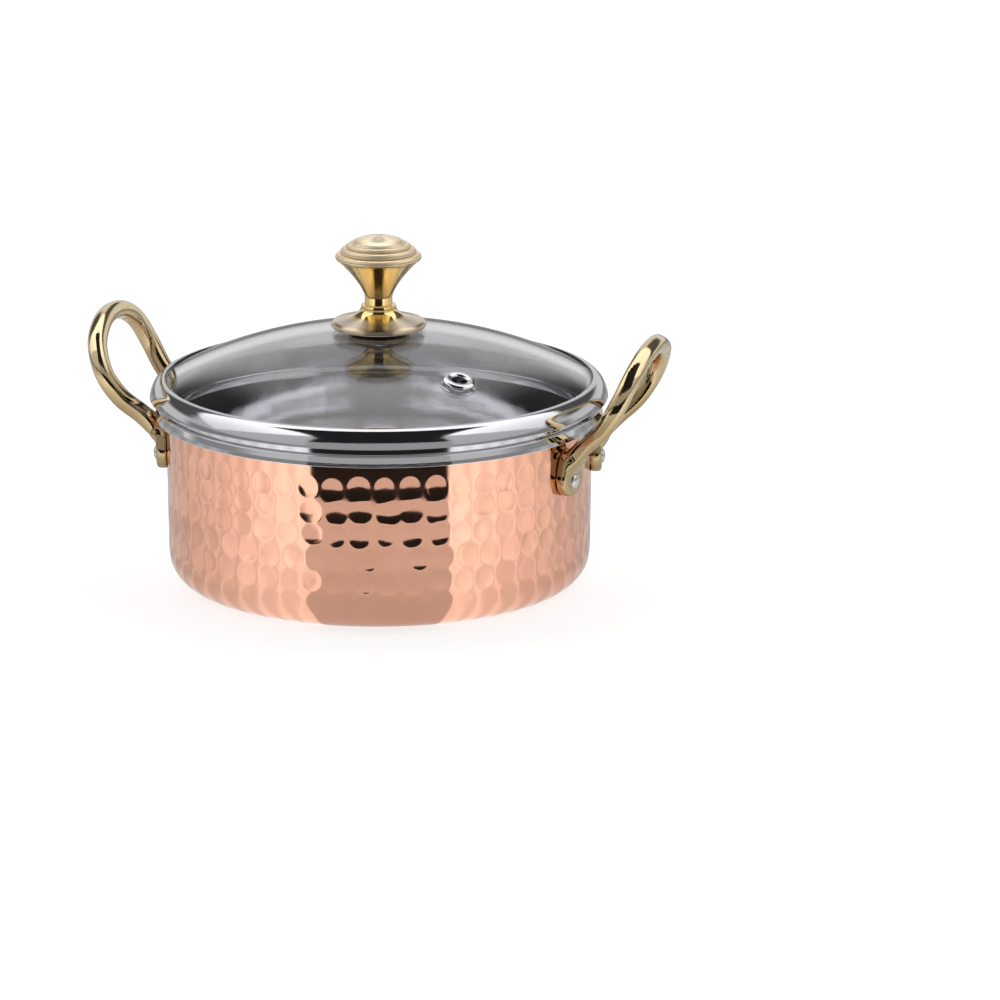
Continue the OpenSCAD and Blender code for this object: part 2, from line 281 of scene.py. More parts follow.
def math_node(tree, operation, a, b=0.0, c=0.0):
    made = node(tree, "Math", operation=operation)
    for i, value in enumerate((a, b, c)):
        if isinstance(value, bpy.types.NodeSocket):
            tree.links.new(value, made.inputs[i])
        else:
            made.inputs[i].default_value = value
    return made.outputs[0]


def times(tree, a, b):
    return math_node(tree, "MULTIPLY", a, b)


def plus(tree, a, b):
    return math_node(tree, "ADD", a, b)


def minus(tree, a, b):
    return math_node(tree, "SUBTRACT", a, b)


def ramp(tree, value, stops, smooth=False):
    made = node(tree, "ValToRGB", {"Fac": value})
    if smooth:
        made.color_ramp.interpolation = "EASE"
    elements = made.color_ramp.elements
    while len(elements) < len(stops):
        elements.new(0.5)
    for element, (at, colour) in zip(elements, stops):
        element.position = at
        colour = (colour,) * 3 if isinstance(colour, (int, float)) else colour
        element.color = (*colour, 1)
    return made.outputs["Color"]


def mix_colour(tree, share, a, b, blend="MIX"):
    made = node(tree, "Mix", data_type="RGBA", blend_type=blend)
    for key, value in ((0, share), (6, a), (7, b)):
        if isinstance(value, bpy.types.NodeSocket):
            tree.links.new(value, made.inputs[key])
        elif key == 0:
            made.inputs[key].default_value = value
        else:
            made.inputs[key].default_value = (*value, 1)
    return made.outputs[2]


def smooth_step(tree, value, low, high):
    ends = {"Value": value, "From Min": low, "From Max": high}
    return node(tree, "MapRange", ends, interpolation_type="SMOOTHSTEP").outputs["Result"]


def add_low_shade(tree, base, place, cloud, low_shade):
    """Painted shade: darkens the colour to brown low down, in clouded patches."""
    low, high, shade_brown = low_shade
    height = node(tree, "SeparateXYZ", {"Vector": place}).outputs[2]
    patchy = math_node(tree, "MULTIPLY_ADD", cloud, 0.5, 0.45)
    share = times(tree, smooth_step(tree, height, high * MM, low * MM), patchy)
    return mix_colour(tree, share, base, shade_brown)


def add_satin_and_sheen(tree, shader, base, rough, place, satin):
    """A brushed finish above one height, or beyond one distance from the axis, where the colour is also
    lightened as painted sheen.
    """
    way, start, end, more, sheen_colour = satin
    parts = node(tree, "SeparateXYZ", {"Vector": place}).outputs
    flat = node(tree, "CombineXYZ", {0: parts[0], 1: parts[1]}).outputs[0]
    reach = node(tree, "VectorMath", {0: flat}, operation="LENGTH").outputs["Value"]
    share = smooth_step(tree, parts[2] if way == "up" else reach, start * MM, end * MM)
    # The head's brushing spreads the shine sideways, the base's up and down
    tangent = node(tree, "Tangent", direction_type="RADIAL", axis="Z").outputs[0]
    tree.links.new(tangent, shader.inputs["Tangent"])
    shader.inputs["Anisotropic"].default_value = 1.0 if way == "up" else 0.9
    shader.inputs["Anisotropic Rotation"].default_value = 0.0 if way == "up" else 0.25
    shader.inputs["Coat Weight"].default_value = 0.6
    shader.inputs["Coat Roughness"].default_value = 0.12
    # The lighter colour is painted sheen; the roughness and the brushing's direction are the finish
    return mix_colour(tree, share, base, sheen_colour), math_node(tree, "MULTIPLY_ADD", share, more, rough)


def metal(
    name, colour, dark, rough, rough_more, grain, bump,
    stretch=(1, 1, 1), stain=0.25, satin=None, low_shade=None,
):
    """Polished metal with faint clouding, fine scratches and small bumps."""
    mat, tree, shader = material(name)
    place = node(tree, "TexCoord").outputs["Object"]
    cloud = node(
        tree, "TexNoise", {"Vector": place, "Scale": 38.0, "Detail": 4.0, "Roughness": 0.55}
    ).outputs["Fac"]
    stretched = node(tree, "Mapping", {"Vector": place, "Scale": stretch}).outputs["Vector"]
    fine = node(
        tree, "TexNoise", {"Vector": stretched, "Scale": grain, "Detail": 5.0, "Roughness": 0.65}
    ).outputs["Fac"]
    stains = ramp(tree, cloud, [(0.35, 0.0), (0.75, stain)], smooth=True)
    base = mix_colour(tree, stains, colour, dark)
    spread = math_node(tree, "MULTIPLY_ADD", fine, rough_more, rough)
    clouded = math_node(tree, "MULTIPLY_ADD", cloud, rough_more * 0.6, spread)
    # Painted shade low on the part, where the material is given one
    if low_shade:
        base = add_low_shade(tree, base, place, cloud, low_shade)
    if satin:
        base, clouded = add_satin_and_sheen(tree, shader, base, clouded, place, satin)
    tree.links.new(base, shader.inputs["Base Color"])
    tree.links.new(clouded, shader.inputs["Roughness"])
    shader.inputs["Metallic"].default_value = 1.0
    lift = node(tree, "Bump", {"Height": fine, "Strength": bump, "Distance": 0.0002})
    tree.links.new(lift.outputs["Normal"], shader.inputs["Normal"])
    return mat


COPPER = (0.862, 0.461, 0.325)
BRASS = (0.81, 0.67, 0.43)
RICH_BRASS = (0.93, 0.69, 0.29)
DARK_BRASS = (0.8, 0.52, 0.16)
STEEL = (0.62, 0.615, 0.645)

copper = metal("hammered_copper", COPPER, (0.74, 0.34, 0.21), 0.02, 0.05, 420, 0.03)
liner_steel = metal(
    "mirror_steel", (0.73, 0.725, 0.75), (0.64, 0.635, 0.66), 0.01, 0.03, 300, 0.02, (1, 1, 6), 0.2
)
band_steel = metal("band_steel", STEEL, (0.54, 0.54, 0.56), 0.03, 0.06, 350, 0.04, (1, 1, 8), 0.2)
cast_brass = metal(
    "cast_brass", BRASS, (0.6, 0.43, 0.2), 0.03, 0.07, 260, 0.12, stain=0.5,
    # painted shade: the loop turns darker brown from 86 mm down to 64 mm
    low_shade=(64, 86, (0.34, 0.235, 0.1)),
)
knob_brass = metal(
    "knob_brass", RICH_BRASS, DARK_BRASS, 0.05, 0.05, 240, 0.04, (1, 1, 9), 0.3,
    # painted sheen: the head's top is lightened towards a whitish brass
    satin=("up", HEAD_Z - 0.2, HEAD_Z + 1, 0.24, (0.98, 0.81, 0.555)),
)
base_brass = metal(
    "base_brass", RICH_BRASS, DARK_BRASS, 0.05, 0.05, 240, 0.04, (1, 1, 9), 0.3,
    # painted sheen: the base is lightened to a greyer brass beyond 8 mm from the axis
    satin=("out", 8.0, 12.0, 0.25, (0.7, 0.575, 0.415)),
)
rivet_steel = metal("rivet_steel", (0.66, 0.66, 0.66), (0.4, 0.38, 0.36), 0.12, 0.15, 300, 0.2)


def rubber():
    mat, tree, shader = material("seal_rubber")
    place = node(tree, "TexCoord").outputs["Object"]
    fine = node(tree, "TexNoise", {"Vector": place, "Scale": 900.0, "Detail": 3.0}).outputs["Fac"]
    base = ramp(tree, fine, [(0.3, 0.028), (0.7, 0.05)])
    tree.links.new(base, shader.inputs["Base Color"])
    tree.links.new(math_node(tree, "MULTIPLY_ADD", fine, 0.2, 0.5), shader.inputs["Roughness"])
    lift = node(tree, "Bump", {"Height": fine, "Strength": 0.2, "Distance": 0.0001})
    tree.links.new(lift.outputs["Normal"], shader.inputs["Normal"])
    return mat


def glass():
    mat, tree, shader = material("clear_glass")
    place = node(tree, "TexCoord").outputs["Object"]
    haze = node(tree, "TexNoise", {"Vector": place, "Scale": 22.0, "Detail": 3.0}).outputs["Fac"]
    tint = ramp(tree, haze, [(0.3, (0.925, 0.925, 0.945)), (0.7, (0.95, 0.95, 0.965))])
    tree.links.new(tint, shader.inputs["Base Color"])
    shader.inputs["Roughness"].default_value = 0.0
    shader.inputs["Transmission Weight"].default_value = 1.0
    shader.inputs["IOR"].default_value = 1.5
    shader.inputs["Specular IOR Level"].default_value = 0.35
    return mat


seal_rubber = rubber()
clear_glass = glass()


# Copper shell with its hammered wall

# Rows of marks by height, how many are in a row, and each mark's half width, half height, depth and tilt
ROWS = [52.1, 44.2, 35.7, 27.0, 18.3, 9.8]
PER_ROW = 53
DIMPLE_W = 4.4
DIMPLE_H = 4.4
DIMPLE_DEPTH = 0.23
DIMPLE_TILT = 0.014
# How steeply a mark's bowl ends, and how narrow the marks of the top row are
BOWL_POWER = 1.15
TOP_ROW_WIDTH = 0.87
# How far the hand strays: whole rows and single marks along the row, marks up and down, depth and size
ROW_SHIFT = 0.18
MARK_SHIFT = 0.09
MARK_DRIFT = 0.55
DEPTH_RANGE = (0.72, 1.28)
SIZE_RANGE = (0.93, 1.07)
HAMMER_SEED = 11
# Share of the marks' depth that shows inside the pan
INSIDE_MARKS = 0.05
# Steps of the shell's line along the floor, round the corner, up the wall, and round the pan
FLOOR_STEPS = 20
CURVE_STEPS = 26
WALL_STEPS = 116
SHELL_SEGS = 960
LINER_SEGS = 480


def wall_at(z):
    return LOW_R + (WALL_R - LOW_R) * (z - CORNER_R) / (WALL_TOP - CORNER_R)


def wall_line():
    """Radius, height, and the way out of the wall, from the floor's middle to the wall's top."""
    low_x = LOW_R - CORNER_R
    out = [(low_x * i / FLOOR_STEPS, 0.0, 0.0, -1.0) for i in range(FLOOR_STEPS)]
    for i in range(CURVE_STEPS):
        a = math.radians(-90 + 90 * i / CURVE_STEPS)
        x, z = math.cos(a), math.sin(a)
        out.append((low_x + CORNER_R * x, CORNER_R + CORNER_R * z, x, z))
    for i in range(WALL_STEPS + 1):
        z = CORNER_R + (WALL_TOP - CORNER_R) * i / WALL_STEPS
        out.append((wall_at(z), z, math.cos(WALL_LEAN), -math.sin(WALL_LEAN)))
    return out


def hammer_marks(height, segs):
    """Depth of the marks at each height of the wall and each step round it."""
    turn = np.arange(segs) * 2 * math.pi / segs
    grid_s = (turn * WALL_R)[None, :]
    grid_v = height[:, None]
    dent = np.zeros((len(height), segs))
    rng = np.random.default_rng(HAMMER_SEED)
    round_length = 2 * math.pi * WALL_R
    for row, middle in enumerate(ROWS):
        phase = rng.uniform(-ROW_SHIFT, ROW_SHIFT)
        row_width = DIMPLE_W * (TOP_ROW_WIDTH if row == 0 else 1)
        for i in range(PER_ROW):
            s0 = (i + 0.5 + phase + rng.uniform(-MARK_SHIFT, MARK_SHIFT)) * round_length / PER_ROW
            v0 = middle + rng.uniform(-MARK_DRIFT, MARK_DRIFT)
            depth = DIMPLE_DEPTH * rng.uniform(*DEPTH_RANGE)
            wide = row_width * rng.uniform(*SIZE_RANGE)
            high = DIMPLE_H * rng.uniform(*SIZE_RANGE)
            ds = (grid_s - s0 + round_length / 2) % round_length - round_length / 2
            dv = grid_v - v0
            # A round hammer's face leaves a shallow bowl, and lands a little askew
            share = (ds / wide) ** 2 + (dv / high) ** 2
            askew = rng.normal(0, DIMPLE_TILT) * ds + rng.normal(0, DIMPLE_TILT) * dv
            bowl = depth * (1 - share**BOWL_POWER) + askew * (1 - share)
            dent = np.maximum(dent, np.where(share < 1, bowl, 0))
    # Softens the creases a little, as polishing does
    for _ in range(2):
        dent = (
            dent * 2
            + np.roll(dent, 1, 1)
            + np.roll(dent, -1, 1)
            + np.vstack([dent[1:], dent[-1:]])
            + np.vstack([dent[:1], dent[:-1]])
        ) / 6
    return dent


def make_shell():
    line = wall_line()
    along = [0.0]
    for a, b in zip(line, line[1:]):
        along.append(along[-1] + math.dist(a[:2], b[:2]))
    along = np.array(along)
    dent = hammer_marks(along - along[FLOOR_STEPS + CURVE_STEPS] + CORNER_R, SHELL_SEGS)
    turn = np.arange(SHELL_SEGS) * 2 * math.pi / SHELL_SEGS
    verts, rings = [], []
    add_ring(verts, rings, *line[0][:2], SHELL_SEGS)
    for (r, z, out_r, out_z), depth in zip(line[1:], dent[1:]):
        rings.append(list(range(len(verts), len(verts) + SHELL_SEGS)))
        for a, d in zip(turn, depth):
            verts.append(((r - d * out_r) * math.cos(a), (r - d * out_r) * math.sin(a), z - d * out_z))
    # The inner side is smooth and needs fewer rings
    inner = [(r - SHELL_T * out_r, z - SHELL_T * out_z) for r, z, out_r, out_z in line]
    inner_line = inner[::-1][::6]
    if inner_line[-1] != inner[0]:
        inner_line.append(inner[0])
    for r, z in inner_line:
        add_ring(verts, rings, r, z, SHELL_SEGS)
    faces = ring_faces(rings, SHELL_SEGS)
    shell = new_object("hammered_shell", verts, faces, "pan", ["copper_shell"], 50)
    paint(shell, copper)


make_shell()


# Steel liner with its rolled rim


def pan_line(inset):
    """The pan's line, set in from its outside, from the floor's middle to the wall's top."""
    low_x = LOW_R - CORNER_R
    curve = arc(low_x, CORNER_R, CORNER_R - inset, CORNER_R - inset, -90, 0, 24)
    return [(low_x * share, inset) for share in (0, 0.25, 0.5, 0.75)] + curve + [(WALL_R - inset, WALL_TOP)]


def make_liner():
    # The rolled rim: a face that leans in a little between two round edges
    low_z, high_z = BEAD_Z - BEAD_R, BEAD_Z + BEAD_R
    bead = rounded([
        (BEAD_X - BEAD_R, WALL_TOP), (BEAD_X - 1.2, low_z + 0.25), (BEAD_X + BEAD_R + 0.05, low_z + 0.3),
        (BEAD_X + BEAD_R - 0.2, BEAD_Z), (BEAD_X + 1.05, high_z + 0.45), (GROOVE_X + 0.5, high_z + 0.45),
        (GROOVE_X, high_z), (LINER_R + LIP_R, high_z),
    ], [0, 0.4, 0.22, 3, 0.5, 0.3, 0.3, 0], 8)
    top = bead + arc(LINER_R + LIP_R, WALL_TOP, LIP_R, LIP_R, 90, 180, 20)[1:]
    heights = np.linspace(WALL_TOP, CORNER_R, 70)[1:]
    wall = [(wall_at(z) - WALL_T, z) for z in heights]
    outside = pan_line(SHELL_T)
    verts, faces = lathe(outside + top + wall + pan_line(WALL_T)[-3::-1], LINER_SEGS)
    # The hammering shows faintly on the inside too
    start = 1 + LINER_SEGS * (len(outside) - 1 + len(top))
    for i, depth in enumerate(hammer_marks(heights, LINER_SEGS).flat, start):
        x, y, z = verts[i]
        share = 1 - depth * INSIDE_MARKS / math.hypot(x, y)
        verts[i] = (x * share, y * share, z)
    liner = new_object("steel_inside", verts, faces, "pan", ["steel_liner"], 50)
    paint(liner, liner_steel)


make_liner()


# Handles

# Stations from a foot to the loop's top. In each, the first six numbers are shares of sizes that place it:
# out by the rod's radius and the loop's reach, across by the feet's spacing and the loop's width, and up
# by the foot's height and the loop's. The last three are the rod's half sizes as shares of its radius,
# and how far its section has turned from the foot's face to the loop's.
LOOP_SHARES = [
    [0.52, 0, 1, 0, 0.535, 0, 0.48, 1.9, 0],
    [0.99, 0, 1, 0, 0.74, 0, 0.85, 1.8, 0],
    [1, 0.048, 0.96, 0.04, 0.913, 0, 1, 1.45, 0.3],
    [0, 0.325, 0.6, 0.38, 1, 0.09, 1, 1.1, 0.7],
    [0, 0.565, 0.2, 0.79, 1, 0.271, 1, 1.1, 1],
    [0, 0.77, 0, 1, 1, 0.527, 1, 1.1, 1],
    [0, 0.91, 0, 0.84, 1, 0.789, 1, 1.06, 1],
    [0, 0.977, 0, 0.46, 1, 0.949, 1, 1, 1],
    [0, 1, 0, 0, 1, 1, 1, 1, 1],
]
# A rod's section is a rounded square, a little fuller than a circle, for which the power would be 1
ROD_POWER = 0.72
ROD_SIDES = 48
# Levels of a foot's thickness, and the share of its outline at each
FOOT_LEVELS = [(0.0, 1.0), (0.55, 1.0), (0.78, 0.985), (0.93, 0.94), (1.0, 0.86)]
# The upper round end of a foot, as a share of the lower one
FOOT_TAPER = 0.84
STATION_STEPS = 8
# Size of the casting's voxels, in metres
HANDLE_VOXEL = 0.00045


def loop_stations():
    """Smooth stations along the whole loop, each with its place, half sizes and facing."""
    foot_top = FOOT_LOW + FOOT_H
    foot_face = np.array([math.cos(FOOT_TURN), math.sin(FOOT_TURN), 0])
    loop_face = np.array([LOOP_TOP - FOOT_LOW, 0, FOOT_X - LOOP_X])
    loop_face /= np.linalg.norm(loop_face)
    half = []
    for s in LOOP_SHARES:
        face = foot_face * (1 - s[8]) + loop_face * s[8]
        half.append([
            FOOT_X + ROD_R * s[0] + (LOOP_X - FOOT_X) * s[1],
            FOOT_SPACING / 2 * s[2] + LOOP_W / 2 * s[3],
            FOOT_LOW + FOOT_H * s[4] + (LOOP_TOP - foot_top) * s[5],
            ROD_R * s[6],
            ROD_R * s[7],
            *face,
        ])
    half = np.array(half)
    other = half[-2::-1] * np.array([1, -1, 1, 1, 1, 1, -1, 1])
    p = np.vstack([half, other])
    out = []
    for i in range(len(p) - 1):
        a, b, c, d = p[max(i - 1, 0)], p[i], p[i + 1], p[min(i + 2, len(p) - 1)]
        for s in range(STATION_STEPS):
            t = s / STATION_STEPS
            square, cube = 2 * a - 5 * b + 4 * c - d, 3 * b - 3 * c + d - a
            out.append((2 * b + (c - a) * t + square * t**2 + cube * t**3) / 2)
    out.append(p[-1])
    return np.array(out)


def rod_mesh(bm, stations):
    rings = []
    points = stations[:, :3]
    for i, st in enumerate(stations):
        way = points[min(i + 1, len(points) - 1)] - points[max(i - 1, 0)]
        way /= np.linalg.norm(way)
        side = np.cross(way, st[5:8])
        side /= np.linalg.norm(side)
        out = np.cross(side, way)
        ring = []
        for s in range(ROD_SIDES):
            a = 2 * math.pi * s / ROD_SIDES
            wide, high = (math.copysign(abs(v) ** ROD_POWER, v) for v in (math.cos(a), math.sin(a)))
            q = points[i] + st[3] * wide * out + st[4] * high * side
            ring.append(bm.verts.new(q))
        rings.append(ring)
    for low, high in zip(rings, rings[1:]):
        join(bm, low, high)
    bm.faces.new(rings[0])
    bm.faces.new(rings[-1][::-1])


def foot_outline():
    """Two round ends, the upper a little smaller, with the rivet at the outline's zero."""
    big = FOOT_W / 2
    small = big * FOOT_TAPER
    rise = FOOT_H - big - small
    a = math.degrees(math.asin((big - small) / rise))
    low_end = arc(0, big - RIVET_UP, big, big, 180 - a, 360 + a, 40)
    return low_end + arc(0, big - RIVET_UP + rise, small, small, a, 180 - a, 40)


def rivet_matrix(way, side=0.0):
    """From a rivet's own frame, +Z out of the wall and +Y up it, to the part's frame."""
    place = Matrix.Translation((wall_at(RIVET_Z), 0, RIVET_Z))
    quarter = math.radians(90)
    lean = Matrix.Rotation(quarter, 4, "Z") @ Matrix.Rotation(quarter + WALL_LEAN, 4, "X")
    return Matrix.Rotation(side + way * FOOT_TURN, 4, "Z") @ place @ lean


def foot_ring(bm, outline, matrix, level, share):
    """The foot's outline at a share of its size, and at a level of its thickness off the wall's curve."""
    middle_y = FOOT_H / 2 - RIVET_UP
    ring = []
    for x, y in outline:
        flat = matrix @ Vector((x * share, middle_y + (y - middle_y) * share, 0))
        turn = math.atan2(flat.y, flat.x)
        radius = wall_at(flat.z) + FOOT_T * level
        ring.append(bm.verts.new((radius * math.cos(turn), radius * math.sin(turn), flat.z)))
    return ring


def join(bm, low, high):
    count = len(low)
    for s in range(count):
        t = (s + 1) % count
        bm.faces.new((low[s], low[t], high[t], high[s]))


def foot_mesh(bm, way):
    """A pad that follows the wall's curve, with its outer edge rounded over."""
    outline = foot_outline()
    matrix = rivet_matrix(way)
    rings = [foot_ring(bm, outline, matrix, level, share) for level, share in FOOT_LEVELS]
    # Fills the faces in from the edge, so that they follow the wall
    for last, (level, edge_share) in ((rings[0], FOOT_LEVELS[0]), (rings[-1], FOOT_LEVELS[-1])):
        for share in (0.75, 0.5, 0.25):
            ring = foot_ring(bm, outline, matrix, level, share * edge_share)
            join(bm, last, ring)
            last = ring
        bm.faces.new(last)
    for low, high in zip(rings, rings[1:]):
        join(bm, low, high)


def make_handle(name, node_name, side):
    """Rod and feet, grown into one casting."""
    bm = bmesh.new()
    rod_mesh(bm, loop_stations())
    for way in (-1, 1):
        foot_mesh(bm, way)
    bmesh.ops.recalc_face_normals(bm, faces=bm.faces)
    bmesh.ops.scale(bm, vec=(MM,) * 3, verts=bm.verts)
    mesh = bpy.data.meshes.new(name)
    bm.to_mesh(mesh)
    bm.free()
    obj = bpy.data.objects.new(name, mesh)
    bpy.context.scene.collection.objects.link(obj)
    remesh = obj.modifiers.new("blend", "REMESH")
    remesh.mode = "VOXEL"
    remesh.voxel_size = HANDLE_VOXEL
    smooth = obj.modifiers.new("soften", "SMOOTH")
    smooth.factor = 0.5
    smooth.iterations = 6
    apply_modifiers(obj)
    obj.data.transform(Matrix.Rotation(side, 4, "Z"))
    finish_object(obj, "pan", [node_name])
    paint(obj, cast_brass)


make_handle("right_loop", "right_handle", 0.0)
make_handle("left_loop", "left_handle", math.pi)


# Rivets


def make_rivets():
    verts, faces = [], []
    # The wide head's rim stands on the liner's curve
    inside = -WALL_T - (LINER_R - math.sqrt(LINER_R**2 - BUTTON_R**2))
    outline = (
        arc(0, FOOT_T, RIVET_HEAD_R, RIVET_HEAD_H, 90, 12, 10)
        + [(RIVET_HEAD_R, FOOT_T + 0.02), (SHANK_R, FOOT_T - 0.02), (SHANK_R, inside), (BUTTON_R, inside)]
        + [(BUTTON_TOP_R, inside - BUTTON_EDGE)]
        + arc(0, inside - BUTTON_EDGE, BUTTON_TOP_R, BUTTON_H, 0, -90, 10)
    )
    for side in (0.0, math.pi):
        for way in (-1, 1):
            one, one_faces = lathe(outline, 48)
            start = len(verts)
            verts += moved(one, rivet_matrix(way, side))
            faces += [tuple(i + start for i in f) for f in one_faces]
    obj = new_object("rivets", verts, faces, "pan", ["handle_rivets"], 40)
    paint(obj, rivet_steel)


make_rivets()


# Lid band: a rolled lip over the glass and a skirt inside the pan

# The roll's outside leans in all the way up, as an ellipse with its middle at this level, from this turn on
ROLL_LOW = 66.3
ROLL_TURN = 13
ROUND_SEGS = 320


def make_band():
    t = BAND_T
    wide, high = LID_R - LIP_X, BAND_TOP - ROLL_LOW
    outside = arc(LIP_X, ROLL_LOW, wide, high, 90, ROLL_TURN, 34)
    # The roll's lower edge, the groove under it and the skirt's outer side
    step = rounded([
        outside[-1], (LID_R - 0.1, LEDGE_Z - t + 0.5), (GROOVE_X, LEDGE_Z - t + 0.2),
        (GROOVE_X, SEAT_Z), (SKIRT_R, SEAT_Z), (SKIRT_R, SKIRT_LOW + 0.9),
    ], [0, 0.35, 0.6, 0.25, 0.4, 0])
    hem = arc(SKIRT_R - HEM_R, SKIRT_LOW + HEM_R, HEM_R, HEM_R, -6, -215, 22)
    ridge = arc(SKIRT_R - t, SKIRT_LOW + RIDGE_UP, RIDGE_R, RIDGE_R, -90, -270, 10)
    # The upright that holds the glass from below, the channel beside it and the roll's inner side
    upright = DOME_Z + math.sqrt(HOLLOW_R**2 - SKIRT_R**2) - GLASS_GAP
    inside = [
        (SKIRT_R - t, upright), (SKIRT_R, upright), (SKIRT_R, SEAT_Z + t), (GROOVE_X - t, SEAT_Z + t),
        (GROOVE_X - t, LEDGE_Z), *arc(LID_R - EDGE_W, WIDEST_Z, EDGE_W - t, EDGE_H - t, -90, 0, 8),
        *arc(LIP_X, WIDEST_Z, wide - t, BAND_TOP - WIDEST_Z - t, 0, 90, 20),
    ]
    verts, faces = lathe(outside + step[1:] + hem + ridge + inside, ROUND_SEGS)
    obj = new_object("lid_rim", verts, faces, "lid", ["lid_band"], 45)
    paint(obj, band_steel)


make_band()


# Glass dome with the hole for the vent

VENT_SEGS = 96
# How near to a sphere, in millimetres, a corner counts as on it
ON_SPHERE = 0.02


def dome_line(radius, edge):
    """From the crown out to a distance from the axis."""
    turns = [math.asin(edge / radius) * i / 40 for i in range(41)]
    return [(radius * math.sin(a), DOME_Z + radius * math.cos(a)) for a in turns]


def vent_matrix():
    return (
        Matrix.Rotation(VENT_TURN, 4, "Z")
        @ Matrix.Translation((0, 0, DOME_Z))
        @ Matrix.Rotation(VENT_TILT, 4, "Y")
        @ Matrix.Translation((0, 0, DOME_R))
    )


def cut_vent(obj):
    # From well under the glass to well over it
    low, high = -6.0, 2.0
    verts, faces = lathe([(0, low), (VENT_HOLE_R, low), (VENT_HOLE_R, high), (0, high)], VENT_SEGS)
    mesh = bpy.data.meshes.new("tool")
    mesh.from_pydata([vent_matrix() @ Vector(v) * MM for v in verts], [], faces)
    bm = bmesh.new()
    bm.from_mesh(mesh)
    bmesh.ops.recalc_face_normals(bm, faces=bm.faces)
    bm.to_mesh(mesh)
    bm.free()
    tool = bpy.data.objects.new("tool", mesh)
    bpy.context.scene.collection.objects.link(tool)
    cut = obj.modifiers.new("hole", "BOOLEAN")
    cut.operation = "DIFFERENCE"
    cut.object = tool
    cut.solver = "EXACT"
    apply_modifiers(obj)
    bpy.data.objects.remove(tool)


def set_dome_normals(obj):
    """True normals of the two spheres, so that the cut leaves no trace in the shading."""
    middle = Vector((0, 0, DOME_Z)) * MM
    normals = [None] * len(obj.data.loops)
    for face in obj.data.polygons:
        face.use_smooth = True
        away = [obj.data.vertices[i].co - middle for i in face.vertices]
        spans = [v.length / MM for v in away]
        outer = all(abs(s - DOME_R) < ON_SPHERE for s in spans)
        inner = all(abs(s - HOLLOW_R) < ON_SPHERE for s in spans)
        for loop, v in zip(face.loop_indices, away):
            normals[loop] = v.normalized() if outer else -v.normalized() if inner else face.normal.copy()
    obj.data.normals_split_custom_set(normals)


def make_glass():
    top = dome_line(DOME_R, GLASS_R - BEVEL_W)
    under = dome_line(HOLLOW_R, GLASS_R - BEVEL_W)
    edge = [(GLASS_R, top[-1][1] - BEVEL_H), (GLASS_R, under[-1][1] + BEVEL_H)]
    verts, faces = lathe(top + edge + under[::-1], ROUND_SEGS)
    obj = new_object("glass_dome", verts, faces, "lid", ["lid_glass"], 40)
    cut_vent(obj)
    set_dome_normals(obj)
    paint(obj, clear_glass)


make_glass()


def make_eyelet():
    under = math.sqrt(HOLLOW_R**2 - FLANGE_R**2) - DOME_R
    low = under - FLANGE_T
    half = (FLANGE_R - VENT_R) / 2
    upper_bevel, lower_bevel = 0.2, 0.3
    # A round flange over the glass, the barrel through it and a flat flange with bevels under it
    outline = arc(VENT_R + half, 0, half, FLANGE_T, 180, 0, 24) + [
        (BARREL_R, 0), (BARREL_R, under), (FLANGE_R - upper_bevel, under), (FLANGE_R, under - upper_bevel),
        (FLANGE_R, low + lower_bevel), (FLANGE_R - lower_bevel, low),
        (VENT_R + lower_bevel, low), (VENT_R, low + lower_bevel),
    ]
    verts, faces = lathe(outline, VENT_SEGS)
    verts = moved(verts, vent_matrix())
    obj = new_object("vent_grommet", verts, faces, "lid", ["vent_eyelet"], 40)
    paint(obj, band_steel)


make_eyelet()


# Knob on its base

# Rings on the head from the widest up: middle by the head's radius and height, and radius by its height
HEAD_RINGS = [(0.92, 0.14, 0.16), (0.8, 0.385, 0.15), (0.685, 0.575, 0.125)]
# The most that the cosine of a crease may be, where one ring all but swallows the next
CREASE_MOST = 0.995
# The cap over the rings: its half width by the head's radius, and its lowest level by the head's height
CAP_WIDE = 0.65
CAP_LOW = 0.655
# The flare's width at its top by the head's radius, and how late it opens
FLARE_WIDE = 0.95
FLARE_POWER = 1.45
# The base's edge by its radius and height, the radii of its corners, and how fast it draws in above
BASE_EDGE = [(0.965, 0), (0.995, 0.06), (1, 0.14), (0.985, 0.23), (0.94, 0.3)]
EDGE_ROUNDS = [0.15, 0.3, 0.35, 0.4, 0]
BASE_POWER = 2.9
KNOB_SEGS = 192


def ring_turns(ring, above):
    """Where a ring's arc ends and the next one's starts, in degrees, so that they meet in a crease."""
    gap = math.dist(ring[:2], above[:2])
    way = math.degrees(math.atan2(above[1] - ring[1], above[0] - ring[0]))
    here = (gap**2 + ring[2] ** 2 - above[2] ** 2) / (2 * gap * ring[2])
    there = (gap**2 + above[2] ** 2 - ring[2] ** 2) / (2 * gap * above[2])
    end = way - math.degrees(math.acos(min(here, CREASE_MOST)))
    return end, way - 180 + math.degrees(math.acos(min(there, CREASE_MOST)))


